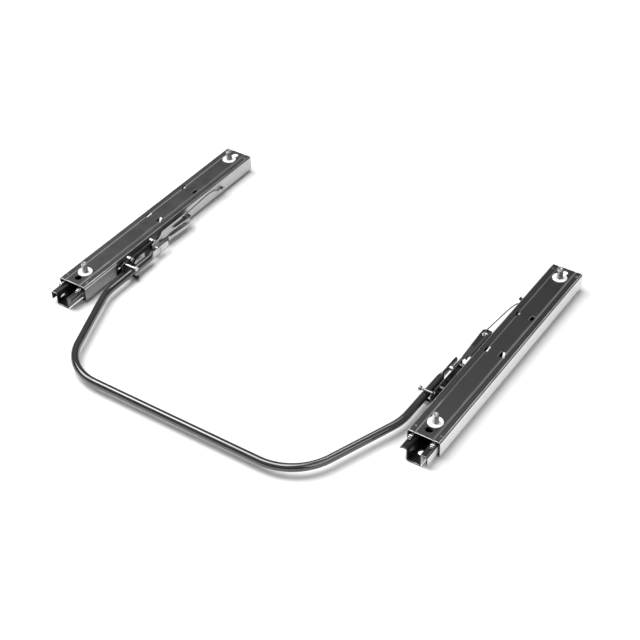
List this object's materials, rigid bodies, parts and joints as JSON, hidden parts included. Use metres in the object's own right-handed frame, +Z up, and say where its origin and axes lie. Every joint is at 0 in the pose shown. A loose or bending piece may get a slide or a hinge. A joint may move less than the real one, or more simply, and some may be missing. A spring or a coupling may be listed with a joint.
{
  "type": "seat slide rail",
  "caption": "Pair of seat slide rails with ball-guided upper channels, seat studs and a loop handle that releases the latches for fore-and-aft seat travel.",
  "frame": {"origin": "centre of the floor bolt pattern, on the floor plane midway between the rails", "axes": "+X from the left rail to the right rail, +Y rearwards along the rails, +Z up to the seat"},
  "size_m": [0.5846, 0.4982, 0.0415],
  "materials": {
    "black_steel": "semi-gloss black coat on folded sheet steel",
    "black_tube": "gloss black coat on bent tube",
    "zinc_steel": "zinc plated steel",
    "cage_steel": "bright pressed steel strip",
    "ball_steel": "polished bearing balls",
    "spring_steel": "oiled spring steel",
    "white_nylon": "moulded white nylon"
  },
  "bodies": {
    "floor_rails": {"left_lower_rail": "black_steel", "right_lower_rail": "black_steel"},
    "left_seat_rail": {"left_upper_rail": "black_steel", "left_studs": "zinc_steel", "left_stud_washers": "white_nylon", "left_handle_bracket": "black_steel", "left_bracket_rivets": "zinc_steel", "left_fork_pins": "zinc_steel", "left_leaf_spring": "spring_steel", "left_lever_pin": "zinc_steel", "left_return_spring": "spring_steel"},
    "left_cages": {"left_inner_ball_cage": "cage_steel", "left_outer_ball_cage": "cage_steel", "left_balls": "ball_steel"},
    "left_latch": {"left_latch_lever": "black_steel", "left_lock_pawl": "zinc_steel", "left_pawl_rivets": "zinc_steel"},
    "right_seat_rail": {"right_upper_rail": "black_steel", "right_studs": "zinc_steel", "right_stud_washers": "white_nylon", "right_handle_bracket": "black_steel", "right_bracket_rivets": "zinc_steel", "right_fork_pins": "zinc_steel", "right_leaf_spring": "spring_steel", "right_lever_pin": "zinc_steel", "right_return_spring": "spring_steel"},
    "right_cages": {"right_inner_ball_cage": "cage_steel", "right_outer_ball_cage": "cage_steel", "right_balls": "ball_steel"},
    "right_latch": {"right_latch_lever": "black_steel", "right_lock_pawl": "zinc_steel", "right_pawl_rivets": "zinc_steel"},
    "handle": {"handle_tube": "black_tube", "left_link_rivet": "zinc_steel", "right_link_rivet": "zinc_steel"}
  },
  "joints": [
    {"name": "left_slide", "type": "slide", "parent": "floor_rails", "child": "left_seat_rail", "axis": [0, 1, 0], "range_m": [-0.09, 0.06]},
    {"name": "right_slide", "type": "slide", "parent": "floor_rails", "child": "right_seat_rail", "axis": [0, 1, 0], "range_m": [-0.09, 0.06]},
    {"name": "left_cage_slide", "type": "slide", "parent": "floor_rails", "child": "left_cages", "axis": [0, 1, 0], "range_m": [-0.045, 0.03]},
    {"name": "right_cage_slide", "type": "slide", "parent": "floor_rails", "child": "right_cages", "axis": [0, 1, 0], "range_m": [-0.045, 0.03]},
    {"name": "handle_lift", "type": "hinge", "parent": "left_seat_rail", "child": "handle", "pos_m": [0, -0.0895, 0.013], "axis": [1, 0, 0], "range_deg": [-4, 0]},
    {"name": "left_latch_turn", "type": "hinge", "parent": "left_seat_rail", "child": "left_latch", "pos_m": [-0.24775, 0.04, 0.0145], "axis": [1, 0, 0], "range_deg": [0, 3.2], "deforming": ["left_return_spring"]},
    {"name": "right_latch_turn", "type": "hinge", "parent": "right_seat_rail", "child": "right_latch", "pos_m": [0.24775, 0.04, 0.0145], "axis": [1, 0, 0], "range_deg": [0, 3.2], "deforming": ["right_return_spring"]}
  ],
  "couplings": [
    {"joint": "left_cage_slide", "follows": "left_slide", "ratio": 0.5},
    {"joint": "right_cage_slide", "follows": "left_slide", "ratio": 0.5},
    {"joint": "right_slide", "follows": "left_slide", "ratio": 1},
    {"joint": "left_latch_turn", "follows": "handle_lift", "ratio": -0.79861},
    {"joint": "right_latch_turn", "follows": "handle_lift", "ratio": -0.79861}
  ]
}
